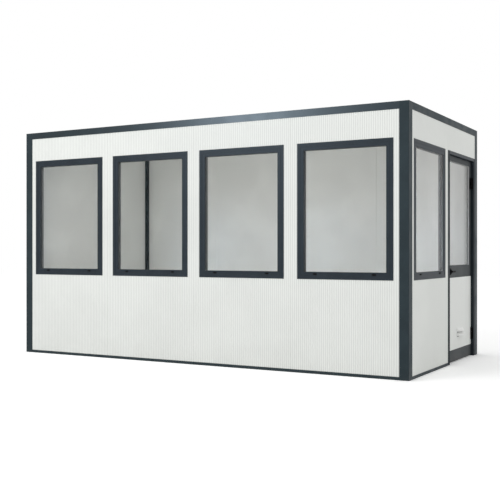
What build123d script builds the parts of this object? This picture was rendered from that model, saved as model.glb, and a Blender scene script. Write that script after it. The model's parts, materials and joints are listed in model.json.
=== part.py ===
from build123d import *
import os

# Security guard booth: insulated sandwich panels held in a frame of dark aluminium profiles.
# Four windows stand along the front, one more beside the half-glazed door in the right end.
# Millimetres, +Z up, the front faces -Y and the door end faces +X.
# The origin is on the ground under the middle of the booth.
# Each wall is drawn in its own frame: x runs to the right as seen from outside,
# y runs inwards from the outer face of the posts, and z runs up from the ground.

# Overall sizes
front_module_count = 4
booth_width = 2400.0
booth_height = 2600.0

# Corner posts and rails
post_size = 95.0
post_corner_radius = 4.0
panel_seat = 17.5
profile_wall = 3.0
base_rail_height = 30.0
top_rail_height = 73.0
top_channel_depth = 14.0
top_beam_width = 48.0
roof_ledge = 32.0

# Wall panels
panel_thickness = 50.0
panel_fit = 0.5
panel_joint = 2.0
joint_chamfer = 2.5
tongue_thickness = 18.0
tongue_length = 14.0
tongue_fit = 1.0

# Roof panels
roof_core = 32.0
roof_fit = 0.5
rib_height = 20.0
rib_base = 64.0
rib_crest = 30.0
ribs_per_module = 4

# Windows
window_width = 1000.0
window_height = 1338.0
window_side_margin = 75.0
window_head_drop = 336.0
window_face = 71.0
window_land = 32.0
window_step = 3.0
window_lap = 22.0
window_cut_fit = 2.0
window_depth = 58.0
window_trim = 4.0
end_window_shift = 7.5

# Glazing units, in the windows and in the door
glass_thickness = 14.0
glass_edge = 12.0
glass_fit = 2.0
front_glass_recess = 35.0
end_glass_recess = 10.0
door_glass_recess = 12.0

# Covers of the drain slots under each window pane
drain_cap_length = 36.0
drain_cap_height = 11.0
drain_cap_radius = 4.0
drain_cap_inset = 193.0

# Door frame
door_side_strip = 16.5
door_frame_face = 60.0
door_frame_lap = 20.0
door_head_face = 34.0
door_stop = 16.0
door_stop_depth = 9.0

# Door leaf
leaf_recess = 36.0
leaf_thickness = 45.0
leaf_gap = 5.0
leaf_ground_gap = 8.0
leaf_stile = 62.0
leaf_top_rail = 57.0
kick_rail_top = 134.0
lock_rail_bottom = 914.0
lock_rail_top = 1047.0
facing_thickness = 3.0
facing_margin = 2.0

# Door hinges
hinge_height = 130.0
hinge_end_offset = 250.0
hinge_barrel_radius = 8.0
hinge_pin_radius = 4.0
hinge_pin_fit = 0.1
hinge_knuckle_gap = 1.0
hinge_reveal_gap = 14.0
hinge_stand_off = 12.0
hinge_leaf_wing_width = 50.0
hinge_wing_thickness = 4.0
hinge_frame_wing_width = 26.0
hinge_arm_width = 12.0
hinge_clearance = 5.0

# Lever handle
handle_backset = 115.0
handle_plate_width = 36.0
handle_plate_height = 72.0
handle_plate_thickness = 9.0
handle_plate_radius = 12.0
lever_stand_off = 28.0
lever_length = 105.0
lever_width = 20.0
lever_thickness = 13.0
lever_edge_radius = 5.0
lever_corner_radius = 7.0
lever_neck_radius = 9.0
lever_plate_gap = 0.5
spindle_radius = 4.5
spindle_fit = 0.5

# Air vent in the lower part of the door
vent_width = 215.0
vent_height = 100.0
vent_centre_height = 309.0
vent_base = 3.0
vent_border = 4.0
vent_projection = 29.0
vent_end_slope = 20.0
vent_sheet = 2.5
vent_blade_count = 2
vent_hood_share = 0.8
vent_slope_share = 0.55

# Extra length of a cutter beyond what it cuts
overrun = 5.0

# Derived places
panel_module = window_width + 2 * window_side_margin
booth_length = front_module_count * panel_module + 2 * (post_size - panel_seat)
first_joint = post_size - panel_seat
panel_face = profile_wall + panel_fit
panel_back = panel_face + panel_thickness
channel_back = panel_back + panel_fit
channel_depth = channel_back + profile_wall
rail_bottom = booth_height - top_rail_height
panel_top = rail_bottom + top_channel_depth
roof_seat = panel_top + profile_wall
window_top = booth_height - window_head_drop
window_bottom = window_top - window_height
end_window_centre = first_joint + panel_module / 2 - end_window_shift
door_frame_left = first_joint + panel_module + door_side_strip
door_bay_right = booth_width - post_size
door_left = door_frame_left + door_frame_face
door_right = door_bay_right - door_frame_face
door_frame_top = window_top
door_body_top = door_frame_top - door_frame_lap
door_opening_top = door_frame_top - door_head_face
leaf_left = door_left + leaf_gap
leaf_right = door_right - leaf_gap
leaf_top = door_opening_top - leaf_gap
leaf_back = leaf_recess + leaf_thickness
door_frame_depth = leaf_back + leaf_gap + door_stop_depth
hinge_x = door_right - hinge_reveal_gap
hinge_y = leaf_recess - hinge_stand_off
hinge_heights = (leaf_ground_gap + hinge_end_offset, leaf_top - hinge_end_offset)
handle_x = leaf_left + handle_backset
vent_pitch = (vent_height - 2 * vent_border) / vent_blade_count
handle_height = (lock_rail_bottom + lock_rail_top) / 2

# Where each wall's own frame stands in the booth
half_length, half_width = booth_length / 2, booth_width / 2
front_wall = Location((-half_length, -half_width, 0), (0, 0, 0))
right_wall = Location((half_length, -half_width, 0), (0, 0, 90))
back_wall = Location((half_length, half_width, 0), (0, 0, 180))
left_wall = Location((-half_length, half_width, 0), (0, 0, 270))


def rectangle(x0, x1, y0, y1):
    """Flat rectangle between two corners."""
    return Pos(x0, y0) * Rectangle(x1 - x0, y1 - y0, align=(Align.MIN, Align.MIN))


def outline(*points):
    """Flat face inside a closed run of straight edges."""
    return Polygon(*points, align=None)


def block(x0, x1, y0, y1, z0, z1):
    """Straight block between two corners."""
    return Pos(0, 0, z0) * extrude(rectangle(x0, x1, y0, y1), z1 - z0)


def upright(section, bottom, top):
    """Plan section raised from one height to another."""
    return Pos(0, 0, bottom) * extrude(section, top - bottom)


def along_wall(section, start, end):
    """Section in depth and height, run along the wall."""
    return Pos(start, 0, 0) * extrude(Plane.YZ * section, end - start)


def through_wall(section, front, back):
    """Section in the plane of the wall, run from one depth to another."""
    return Pos(0, front, 0) * extrude(Plane.XZ * section, front - back)


def frame_ring(left, right, bottom, top, outer, inner, front, back):
    """Rectangular ring between two insets of an outline, run from one depth to another."""
    outside = rectangle(left + outer, right - outer, bottom + outer, top - outer)
    inside = rectangle(left + inner, right - inner, bottom + inner, top - inner)
    return through_wall(outside - inside, front, back)


def corner_post():
    """Hollow capped post with a panel groove in each of its two inner sides."""
    square = rectangle(0, post_size, 0, post_size)
    square = fillet(square.vertices().sort_by_distance((0, 0, 0))[0], post_corner_radius)
    groove_floor = post_size - panel_seat
    wall_floor = groove_floor - profile_wall
    grooves = rectangle(groove_floor, post_size, profile_wall, channel_back)
    grooves += rectangle(profile_wall, channel_back, groove_floor, post_size)
    hollow = rectangle(profile_wall, post_size - profile_wall, profile_wall, post_size - profile_wall)
    hollow -= rectangle(wall_floor, post_size, 0, channel_depth)
    hollow -= rectangle(0, channel_depth, wall_floor, post_size)
    tube = upright(square - grooves - hollow, 0, booth_height - profile_wall)
    return tube + upright(square, booth_height - profile_wall, booth_height)


def base_rail(start, end):
    """Channel on the ground that the wall panels stand in."""
    section = outline(
        (0, 0),
        (channel_depth, 0),
        (channel_depth, base_rail_height),
        (channel_back, base_rail_height),
        (channel_back, profile_wall),
        (profile_wall, profile_wall),
        (profile_wall, base_rail_height),
        (0, base_rail_height),
    )
    return along_wall(section, start, end)


def top_rail(start, end):
    """Hollow roof beam with a channel for the wall panels below and a ledge for the roof inside."""
    ledge = top_beam_width + roof_ledge
    section = outline(
        (0, rail_bottom),
        (profile_wall, rail_bottom),
        (profile_wall, panel_top),
        (channel_back, panel_top),
        (channel_back, rail_bottom),
        (channel_depth, rail_bottom),
        (channel_depth, panel_top),
        (ledge, panel_top),
        (ledge, roof_seat),
        (top_beam_width, roof_seat),
        (top_beam_width, booth_height),
        (0, booth_height),
    )
    section -= rectangle(profile_wall, top_beam_width - profile_wall, roof_seat, booth_height - profile_wall)
    return along_wall(section, start, end)


def wall_panel(left, right, bottom, top, tongue=False, groove=False):
    """Sandwich panel with eased outer edges, a tongue on its right edge and a groove in its left."""
    section = outline(
        (left + joint_chamfer, panel_face),
        (right - joint_chamfer, panel_face),
        (right, panel_face + joint_chamfer),
        (right, panel_back),
        (left, panel_back),
        (left, panel_face + joint_chamfer),
    )
    middle = (panel_face + panel_back) / 2
    half_tongue = tongue_thickness / 2
    half_groove = half_tongue + tongue_fit
    groove_depth = tongue_length - panel_joint + tongue_fit
    if tongue:
        section += rectangle(right, right + tongue_length, middle - half_tongue, middle + half_tongue)
    if groove:
        section -= rectangle(left, left + groove_depth, middle - half_groove, middle + half_groove)
    return upright(section, bottom, top)


def panel_row(joints):
    """Full-height panels side by side between successive joint lines."""
    half_joint = panel_joint / 2
    panels = []
    for index, (start, end) in enumerate(zip(joints, joints[1:])):
        first, last = index == 0, index == len(joints) - 2
        left = start if first else start + half_joint
        right = end if last else end - half_joint
        panels.append(wall_panel(left, right, profile_wall, panel_top, not last, not first))
    return panels


def window_hole(centre):
    """What is sawn out of a panel for a window."""
    inset = window_lap - window_cut_fit
    half = window_width / 2 - inset
    return block(
        centre - half,
        centre + half,
        panel_face - overrun,
        panel_back + overrun,
        window_bottom + inset,
        window_top - inset,
    )


def window_frame(centre, recess):
    """Fixed window frame: flange over the panel, stepped face, glazing groove and inner trim."""
    edges = (centre - window_width / 2, centre + window_width / 2, window_bottom, window_top)
    groove = window_face - glass_edge
    glass_back = recess + glass_thickness
    ring = frame_ring(*edges, 0, window_land, 0, panel_face)
    ring += frame_ring(*edges, window_lap, window_land, 0, window_depth)
    ring += frame_ring(*edges, window_land, window_face, window_step, window_depth)
    ring += frame_ring(*edges, 0, window_lap, panel_back, panel_back + window_trim)
    return ring - frame_ring(*edges, groove, window_face, recess, glass_back)


def window_pane(centre, recess):
    """Double-glazed unit that sits in the window frame's groove."""
    inset = window_face - glass_edge + glass_fit
    half = window_width / 2 - inset
    section = rectangle(centre - half, centre + half, window_bottom + inset, window_top - inset)
    return through_wall(section, recess, recess + glass_thickness)


def drain_caps(centre):
    """Two slot covers on the sill face of a window frame."""
    height = window_bottom + (window_land + window_face) / 2
    reach = window_width / 2 - drain_cap_inset
    caps = []
    for x in (centre - reach, centre + reach):
        cap = Pos(x, height) * RectangleRounded(drain_cap_length, drain_cap_height, drain_cap_radius)
        caps.append(through_wall(cap, 0, window_step))
    return caps


def roof_panel(left, right, crests):
    """Roof panel with trapezoid ribs from front to back, notched round any post it meets."""
    deck = roof_seat + roof_core
    points = [(left, roof_seat), (left, deck)]
    for crest in crests:
        points += [
            (crest - rib_base / 2, deck),
            (crest - rib_crest / 2, deck + rib_height),
            (crest + rib_crest / 2, deck + rib_height),
            (crest + rib_base / 2, deck),
        ]
    points += [(right, deck), (right, roof_seat)]
    front = top_beam_width + roof_fit
    back = booth_width - front
    panel = through_wall(outline(*reversed(points)), front, back)
    notch = post_size + roof_fit
    for x0, x1 in ((0, notch), (booth_length - notch, booth_length)):
        for y0, y1 in ((0, notch), (booth_width - notch, booth_width)):
            panel -= block(x0, x1, y0, y1, roof_seat - overrun, booth_height + overrun)
    return panel


def roof_panels():
    """Four roof panels side by side between the end beams."""
    half_joint = panel_joint / 2
    pitch = panel_module / ribs_per_module
    end_edge = top_beam_width + roof_fit
    panels = []
    for index in range(front_module_count):
        start = first_joint + index * panel_module
        crests = [start + pitch / 2 + rib * pitch for rib in range(ribs_per_module)]
        left = end_edge if index == 0 else start + half_joint
        last = index == front_module_count - 1
        right = booth_length - end_edge if last else start + panel_module - half_joint
        panels.append(roof_panel(left, right, crests))
    return panels


def latch_jamb():
    """Door post on the handle side: flange over the panel, hollow body and door stop."""
    body_left = door_frame_left + door_frame_lap
    stop_front = door_frame_depth - door_stop_depth
    section = outline(
        (door_frame_left, 0),
        (door_left, 0),
        (door_left, stop_front),
        (door_left + door_stop, stop_front),
        (door_left + door_stop, door_frame_depth),
        (body_left, door_frame_depth),
        (body_left, panel_face),
        (door_frame_left, panel_face),
    )
    section -= rectangle(
        body_left + profile_wall,
        door_left - profile_wall,
        panel_face + profile_wall,
        door_frame_depth - profile_wall,
    )
    flange = rectangle(door_frame_left, door_left, 0, panel_face)
    return upright(section, 0, door_body_top) + upright(flange, door_body_top, door_frame_top)


def hinge_jamb():
    """Door post on the hinge side: hollow body against the corner post, and door stop."""
    stop_front = door_frame_depth - door_stop_depth
    section = outline(
        (door_right, 0),
        (door_bay_right, 0),
        (door_bay_right, door_frame_depth),
        (door_right - door_stop, door_frame_depth),
        (door_right - door_stop, stop_front),
        (door_right, stop_front),
    )
    section -= rectangle(
        door_right + profile_wall,
        door_bay_right - profile_wall,
        profile_wall,
        door_frame_depth - profile_wall,
    )
    flange = rectangle(door_right, door_bay_right, 0, panel_face)
    return upright(section, 0, door_body_top) + upright(flange, door_body_top, door_frame_top)


def door_head():
    """Cross piece over the door, with a flange over the panel above and a door stop below."""
    stop_front = door_frame_depth - door_stop_depth
    section = outline(
        (0, door_opening_top),
        (stop_front, door_opening_top),
        (stop_front, door_opening_top - door_stop),
        (door_frame_depth, door_opening_top - door_stop),
        (door_frame_depth, door_body_top),
        (panel_face, door_body_top),
        (panel_face, door_frame_top),
        (0, door_frame_top),
    )
    head = along_wall(section, door_left, door_right)
    for x0, x1 in ((door_left, door_left + door_stop), (door_right - door_stop, door_right)):
        head -= block(x0, x1, stop_front, door_frame_depth, door_opening_top - door_stop, door_body_top)
    return head


def door_panels():
    """Narrow panel strip beside the door frame, and the panel over the door."""
    half_joint = panel_joint / 2
    joint = first_joint + panel_module
    left = joint + half_joint
    split = door_body_top + window_cut_fit
    strip_right = door_frame_left + door_frame_lap - window_cut_fit
    strip = wall_panel(left, strip_right, profile_wall, split, groove=True)
    head = wall_panel(left, booth_width - first_joint, split, panel_top, groove=True)
    return strip, head


def leaf_frame():
    """Door leaf frame: stiles and rails round the glass and the lower panel, let in for the hinges."""
    bars_left, bars_right = leaf_left + leaf_stile, leaf_right - leaf_stile
    slab = block(leaf_left, leaf_right, leaf_recess, leaf_back, leaf_ground_gap, leaf_top)
    light = (bars_left, bars_right, lock_rail_top, leaf_top - leaf_top_rail)
    slab -= through_wall(rectangle(*light), leaf_recess - overrun, leaf_back + overrun)
    glass_front = leaf_recess + door_glass_recess
    slab -= frame_ring(*light, -glass_edge, glass_edge, glass_front, glass_front + glass_thickness)
    lower = rectangle(bars_left, bars_right, kick_rail_top, lock_rail_bottom)
    slab -= through_wall(lower, leaf_recess - overrun, leaf_back + overrun)
    for height in hinge_heights:
        slab -= hinge_leaf_wing(height)
    bore = Pos(handle_x, handle_height) * Circle(spindle_radius + spindle_fit)
    return slab - through_wall(bore, leaf_recess - overrun, leaf_back + overrun)


def door_glass():
    """Double-glazed unit in the upper part of the door leaf."""
    edge = glass_edge - glass_fit
    section = rectangle(
        leaf_left + leaf_stile - edge,
        leaf_right - leaf_stile + edge,
        lock_rail_top - edge,
        leaf_top - leaf_top_rail + edge,
    )
    front = leaf_recess + door_glass_recess
    return through_wall(section, front, front + glass_thickness)


def door_lower_panel():
    """Lower door panel: a core between the stiles and a facing that laps over them."""
    core = block(
        leaf_left + leaf_stile,
        leaf_right - leaf_stile,
        leaf_recess,
        leaf_back,
        kick_rail_top,
        lock_rail_bottom,
    )
    facing_front = leaf_recess - facing_thickness
    facing = block(
        leaf_left + facing_margin,
        leaf_right - facing_margin,
        facing_front,
        leaf_recess,
        kick_rail_top,
        lock_rail_bottom,
    )
    half_notch = hinge_height / 2 + hinge_clearance
    low_hinge = hinge_heights[0]
    facing -= block(
        hinge_x - hinge_arm_width,
        leaf_right,
        facing_front - overrun,
        leaf_recess,
        low_hinge - half_notch,
        low_hinge + half_notch,
    )
    return core + facing


def hinge_leaf_wing(height):
    """Plate of a hinge's door half, let into the face of the stile."""
    half = hinge_height / 2
    right = hinge_x + hinge_arm_width / 2
    return block(
        right - hinge_leaf_wing_width,
        right,
        leaf_recess,
        leaf_recess + hinge_wing_thickness,
        height - half,
        height + half,
    )


def hinge_spans(height):
    """Bottom and top of the lower frame knuckle, the door knuckle and the upper frame knuckle."""
    bottom = height - hinge_height / 2
    third = hinge_height / 3
    half_gap = hinge_knuckle_gap / 2
    return (
        (bottom, bottom + third - half_gap),
        (bottom + third + half_gap, bottom + 2 * third - half_gap),
        (bottom + 2 * third + half_gap, bottom + hinge_height),
    )


def hinge_leaf_half(height):
    """Door half of a hinge: let-in plate, arm and bored middle knuckle."""
    bottom, top = hinge_spans(height)[1]
    barrel = Pos(hinge_x, hinge_y) * Circle(hinge_barrel_radius)
    half_arm = hinge_arm_width / 2
    arm = rectangle(hinge_x - half_arm, hinge_x + half_arm, hinge_y, leaf_recess + hinge_wing_thickness)
    bore = Pos(hinge_x, hinge_y) * Circle(hinge_pin_radius + hinge_pin_fit)
    return hinge_leaf_wing(height) + upright(barrel + arm - bore, bottom, top)


def hinge_frame_half(height):
    """Frame half of a hinge: plate on the reveal, two knuckles and the pin."""
    low, _, high = hinge_spans(height)
    half = hinge_height / 2
    plate_front = hinge_y + hinge_barrel_radius - hinge_frame_wing_width
    plate_back = hinge_y + hinge_barrel_radius
    plate_left = door_right - hinge_wing_thickness
    barrel = Pos(hinge_x, hinge_y) * Circle(hinge_barrel_radius)
    web = rectangle(hinge_x, door_right, hinge_y - hinge_pin_radius, hinge_y + hinge_pin_radius)
    pin = Pos(hinge_x, hinge_y) * Circle(hinge_pin_radius)
    half_hinge = block(plate_left, door_right, plate_front, plate_back, height - half, height + half)
    for bottom, top in (low, high):
        half_hinge += upright(barrel + web, bottom, top)
    return half_hinge + upright(pin, height - half, height + half)


def handle_plates():
    """Rounded cover plates on both faces of the lock rail, bored for the spindle."""
    plate = RectangleRounded(handle_plate_width, handle_plate_height, handle_plate_radius)
    section = Pos(handle_x, handle_height) * (plate - Circle(lever_neck_radius + spindle_fit))
    outside = through_wall(section, leaf_recess - handle_plate_thickness, leaf_recess)
    inside = through_wall(section, leaf_back, leaf_back + handle_plate_thickness)
    return outside, inside


def lever(face, outward):
    """Neck and lever arm on one face of the door; outward is -1 outside and +1 inside."""
    middle = face + outward * lever_stand_off
    near = middle - lever_thickness / 2
    arm = Pos(handle_x - lever_width / 2, handle_height - lever_width / 2) * Rectangle(
        lever_length + lever_width / 2, lever_width, align=(Align.MIN, Align.MIN)
    )
    arm = fillet(arm.vertices(), lever_corner_radius)
    body = through_wall(arm, near, near + lever_thickness)
    body = fillet(body.edges().filter_by(Plane.XZ), lever_edge_radius)
    root = face + outward * lever_plate_gap
    neck = Pos(handle_x, handle_height) * Circle(lever_neck_radius)
    return body + through_wall(neck, min(root, middle), max(root, middle))


def lever_handle():
    """Outside and inside levers on one spindle through the door."""
    rod = Pos(handle_x, handle_height) * Circle(spindle_radius)
    spindle = through_wall(rod, leaf_recess - lever_stand_off, leaf_back + lever_stand_off)
    return lever(leaf_recess, -1) + spindle + lever(leaf_back, 1)


def vent_wedge(left, right, top, lip_bottom, inset):
    """Solid of one louvre pulled in by an inset: it slopes out from the plate to an upright lip."""
    face = leaf_recess - facing_thickness
    back, front = face - vent_base, face - vent_projection + inset
    lip_top = top - vent_pitch * vent_slope_share - inset
    side = outline(
        (front, lip_bottom),
        (back, lip_bottom),
        (back, top - inset),
        (front, lip_top),
    )
    plan = outline(
        (left + vent_end_slope + inset, front),
        (right - vent_end_slope - inset, front),
        (right - inset, back),
        (left + inset, back),
    )
    return along_wall(side, left, right) & upright(plan, lip_bottom, top)


def door_vent():
    """Air vent: a plate with pressed louvres, each closed at its ends and open below."""
    face = leaf_recess - facing_thickness
    left = (leaf_left + leaf_right - vent_width) / 2
    right = left + vent_width
    bottom = vent_centre_height - vent_height / 2
    vent = block(left, right, face - vent_base, face, bottom, bottom + vent_height)
    ends = (left + vent_border, right - vent_border)
    for index in range(vent_blade_count):
        top = bottom + vent_border + (index + 1) * vent_pitch
        lip_bottom = top - vent_pitch * vent_hood_share
        hood = vent_wedge(*ends, top, lip_bottom, 0)
        vent += hood - vent_wedge(*ends, top, lip_bottom - overrun, vent_sheet)
    return vent


def front_windows():
    """Middle of each front window along the front wall."""
    middle = first_joint + panel_module / 2
    return [middle + index * panel_module for index in range(front_module_count)]


def nodes():
    """Every piece of the booth by name, in place."""
    made = {}
    walls = {"front": front_wall, "right": right_wall, "back": back_wall, "left": left_wall}
    runs = {"front": booth_length, "right": booth_width, "back": booth_length, "left": booth_width}
    posts = {"front": "front_left", "right": "front_right", "back": "back_right", "left": "back_left"}
    for wall, place in walls.items():
        rail_end = runs[wall] - post_size
        base_end = door_frame_left if wall == "right" else rail_end
        made[posts[wall] + "_post"] = place * corner_post()
        made[wall + "_base_rail"] = place * base_rail(post_size, base_end)
        made[wall + "_top_rail"] = place * top_rail(post_size, rail_end)

    long_joints = [first_joint + index * panel_module for index in range(front_module_count + 1)]
    end_joints = [first_joint, first_joint + panel_module, booth_width - first_joint]
    left_joints = [booth_width - joint for joint in reversed(end_joints)]
    rows = zip(panel_row(long_joints), panel_row(long_joints), front_windows(), roof_panels())
    caps = []
    for number, (front, back, centre, roof) in enumerate(rows, start=1):
        made[f"front_panel_{number}"] = front_wall * (front - window_hole(centre))
        made[f"front_window_frame_{number}"] = front_wall * window_frame(centre, front_glass_recess)
        made[f"front_window_pane_{number}"] = front_wall * window_pane(centre, front_glass_recess)
        made[f"back_panel_{number}"] = back_wall * back
        made[f"roof_panel_{number}"] = front_wall * roof
        caps += [front_wall * cap for cap in drain_caps(centre)]
    for number, panel in enumerate(panel_row(left_joints), start=1):
        made[f"left_panel_{number}"] = left_wall * panel

    strip, head = door_panels()
    window_panel = panel_row(end_joints)[0] - window_hole(end_window_centre)
    made["right_window_panel"] = right_wall * window_panel
    made["right_window_frame"] = right_wall * window_frame(end_window_centre, end_glass_recess)
    made["right_window_pane"] = right_wall * window_pane(end_window_centre, end_glass_recess)
    made["door_side_strip"] = right_wall * strip
    made["door_head_panel"] = right_wall * head
    caps += [right_wall * cap for cap in drain_caps(end_window_centre)]
    made["window_drain_caps"] = Compound(caps)

    made["door_latch_jamb"] = right_wall * latch_jamb()
    made["door_hinge_jamb"] = right_wall * hinge_jamb()
    made["door_head"] = right_wall * door_head()
    made["door_leaf_frame"] = right_wall * leaf_frame()
    made["door_glass"] = right_wall * door_glass()
    made["door_lower_panel"] = right_wall * door_lower_panel()
    made["door_vent"] = right_wall * door_vent()
    made["door_hinge_frame_halves"] = Compound([right_wall * hinge_frame_half(z) for z in hinge_heights])
    made["door_hinge_leaf_halves"] = Compound([right_wall * hinge_leaf_half(z) for z in hinge_heights])
    made["door_handle_plates"] = Compound([right_wall * plate for plate in handle_plates()])
    made["door_lever_handle"] = right_wall * lever_handle()
    return made


os.makedirs("parts", exist_ok=True)
for name, shape in nodes().items():
    export_step(shape, f"parts/{name}.step")
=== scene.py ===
"""Dresses the guard booth with ribs, seals, fasteners and finishes, and sets up the studio and camera."""

import json
import logging
import math
from collections.abc import Sequence
from dataclasses import dataclass
from enum import Enum
from itertools import groupby

import bmesh
import bpy
from mathutils import Matrix, Vector

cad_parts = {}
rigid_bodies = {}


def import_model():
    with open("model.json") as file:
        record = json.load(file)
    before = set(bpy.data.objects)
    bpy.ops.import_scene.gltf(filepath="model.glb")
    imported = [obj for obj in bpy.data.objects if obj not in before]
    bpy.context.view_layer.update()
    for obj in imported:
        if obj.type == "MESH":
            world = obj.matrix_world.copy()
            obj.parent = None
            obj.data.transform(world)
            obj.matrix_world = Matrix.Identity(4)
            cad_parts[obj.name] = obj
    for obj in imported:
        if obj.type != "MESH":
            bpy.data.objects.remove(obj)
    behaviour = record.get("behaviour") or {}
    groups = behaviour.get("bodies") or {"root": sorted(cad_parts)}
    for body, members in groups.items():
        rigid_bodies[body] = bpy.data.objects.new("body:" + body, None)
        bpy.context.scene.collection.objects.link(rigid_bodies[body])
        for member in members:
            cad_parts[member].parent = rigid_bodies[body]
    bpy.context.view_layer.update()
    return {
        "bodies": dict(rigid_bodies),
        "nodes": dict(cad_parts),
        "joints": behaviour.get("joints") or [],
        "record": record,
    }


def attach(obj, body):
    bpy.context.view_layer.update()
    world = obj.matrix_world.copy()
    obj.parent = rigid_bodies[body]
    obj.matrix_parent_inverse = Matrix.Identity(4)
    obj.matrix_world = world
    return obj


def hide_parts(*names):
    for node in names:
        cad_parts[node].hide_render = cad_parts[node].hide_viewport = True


LOG = logging.getLogger("guard_booth")
Pair = tuple[float, float]
Triple = tuple[float, float, float]
Material = bpy.types.Material
Mesh = bpy.types.Mesh
Node = bpy.types.Node
Socket = bpy.types.NodeSocket
Tree = bpy.types.NodeTree
Inputs = dict[str | int, object]
Number = float | Socket


class Wall(Enum):
    """A wall of the booth, with the angle that turns the front wall's axes to it."""

    FRONT = 0
    RIGHT = 90
    BACK = 180
    LEFT = 270

    @property
    def label(self) -> str:
        """Start of the names of its pieces."""
        return self.name.lower()


class Body(Enum):
    """What a piece moves with."""

    BOOTH = "booth"
    DOOR = "door"


class Slot(Enum):
    """The record's finishes."""

    FRAME = "frame"
    WALL_PANEL = "wall_panel"
    ROOF_PANEL = "roof_panel"
    DOOR_PANEL = "door_panel"
    VENT = "vent"
    GLASS = "glass"
    HANDLE = "handle"
    HINGE = "hinge"
    DRAIN_CAP = "drain_cap"


class Kind(Enum):
    """Kinds of a node group's sockets."""

    COLOUR = "NodeSocketColor"
    NUMBER = "NodeSocketFloat"
    COUNT = "NodeSocketInt"
    VECTOR = "NodeSocketVector"
    MATERIAL = "NodeSocketMaterial"
    SHAPE = "NodeSocketGeometry"


class Rays(Enum):
    """Rays that a lamp can be hidden from."""

    CAMERA = "visible_camera"
    DIFFUSE = "visible_diffuse"
    GLOSSY = "visible_glossy"
    TRANSMISSION = "visible_transmission"


@dataclass(frozen=True)
class BoothPlan:
    """Sizes of the booth that its pieces are placed by, in metres."""

    half_length: float = 2.3775
    half_width: float = 1.2
    post: float = 0.095
    panel_face: float = 0.0035
    first_panel: float = 0.0775
    module: float = 1.15
    front_panels: int = 4
    rail_top: float = 0.03
    rail_bottom: float = 2.527
    end_window: float = 0.645
    window_half: float = 0.5
    window_bottom: float = 0.926
    window_top: float = 2.264
    window_land: float = 0.032
    window_face: float = 0.071
    window_step: float = 0.003
    window_depth: float = 0.058
    front_glass: float = 0.035
    end_glass: float = 0.01
    glass_thickness: float = 0.014
    doorway: float = 1.244
    door_centre: float = 1.7745
    leaf_face: float = 0.036
    leaf_back: float = 0.081

    def matrix(self, wall: Wall) -> Matrix:
        """Places wall axes in the booth: x to the right as seen from outside, y inwards, z up.

        Args:
            wall: The wall whose axes are wanted.

        Returns:
            The matrix from wall axes to booth axes.
        """
        x = self.half_length if wall in (Wall.RIGHT, Wall.BACK) else -self.half_length
        y = self.half_width if wall in (Wall.BACK, Wall.LEFT) else -self.half_width
        return Matrix.Translation((x, y, 0.0)) @ Matrix.Rotation(math.radians(wall.value), 4, "Z")

    def wall_length(self, wall: Wall) -> float:
        """Length of a wall from corner to corner."""
        return 2.0 * (self.half_length if wall in (Wall.FRONT, Wall.BACK) else self.half_width)

    def window_centres(self, wall: Wall) -> list[float]:
        """Middles of a wall's windows along it."""
        front = [self.first_panel + (i + 0.5) * self.module for i in range(self.front_panels)]
        return {Wall.FRONT: front, Wall.RIGHT: [self.end_window]}.get(wall, [])

    def glass_depth(self, wall: Wall) -> float:
        """How far a wall's window glass lies behind the post faces."""
        return self.front_glass if wall is Wall.FRONT else self.end_glass


class NodeNet:
    """Short forms for making and joining nodes in a tree."""

    def __init__(self, tree: Tree) -> None:
        """Keeps the tree."""
        self.tree = tree

    def feed(self, node: Node, inputs: Inputs) -> None:
        """Sets or joins a node's inputs.

        Args:
            node: The node.
            inputs: What each input takes: a value, another node's output or a list of outputs.
        """
        for name, value in inputs.items():
            for source in value if isinstance(value, list) else [value]:
                if isinstance(source, Socket):
                    self.tree.links.new(source, node.inputs[name])
                else:
                    node.inputs[name].default_value = source

    def add(self, kind: str, inputs: Inputs | None = None, **settings: object) -> Node:
        """Adds a node.

        Args:
            kind: Blender's name for the kind of node.
            inputs: What its inputs take.
            settings: Properties to set on it.

        Returns:
            The new node.
        """
        node = self.tree.nodes.new(kind)
        for name, value in settings.items():
            setattr(node, name, value)
        self.feed(node, inputs or {})
        return node

    def put(self, kind: str, inputs: Inputs | None = None, **settings: object) -> Socket:
        """Adds a node and returns its first output."""
        return self.add(kind, inputs, **settings).outputs[0]

    def use(self, group: Tree, **inputs: object) -> Node:
        """Adds a shared group."""
        return self.add("ShaderNodeGroup", inputs, node_tree=group)

    def math(self, operation: str, *values: Number) -> Socket:
        """Works one value out of others."""
        return self.put("ShaderNodeMath", dict(enumerate(values)), operation=operation)

    def vector(self, *values: Number) -> Socket:
        """Joins up to three values into a vector."""
        return self.put("ShaderNodeCombineXYZ", dict(enumerate(values)))

    def remap(self, source: Socket, old: Pair, new: tuple[Number, Number]) -> Socket:
        """Maps one range smoothly onto another and holds it there."""
        inputs = {"Value": source, "From Min": old[0], "From Max": old[1], "To Min": new[0], "To Max": new[1]}
        return self.put("ShaderNodeMapRange", inputs, interpolation_type="SMOOTHSTEP")

    def own_place(self) -> Socket:
        """The piece's own coordinates."""
        return self.add("ShaderNodeTexCoord").outputs["Object"]

    def noise(self, scale: Number, detail: float, roughness: float = 0.5) -> Socket:
        """Noise from 0 to 1 on the piece's own coordinates."""
        inputs = {"Vector": self.own_place(), "Scale": scale, "Detail": detail, "Roughness": roughness}
        return self.put("ShaderNodeTexNoise", inputs)

    def blend(self, share: Socket, first: object, second: object) -> Socket:
        """Mixes two colours."""
        inputs = {"Factor": share, "A": first, "B": second}
        return self.add("ShaderNodeMix", inputs, data_type="RGBA").outputs["Result"]

    def show(self, output: str, share: Socket, first: Socket, second: Socket) -> None:
        """Mixes two shaders and joins them to the tree's output."""
        mix = self.put("ShaderNodeMixShader", {"Fac": share, 1: first, 2: second})
        self.feed(self.tree.nodes[output], {"Surface": mix})


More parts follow.
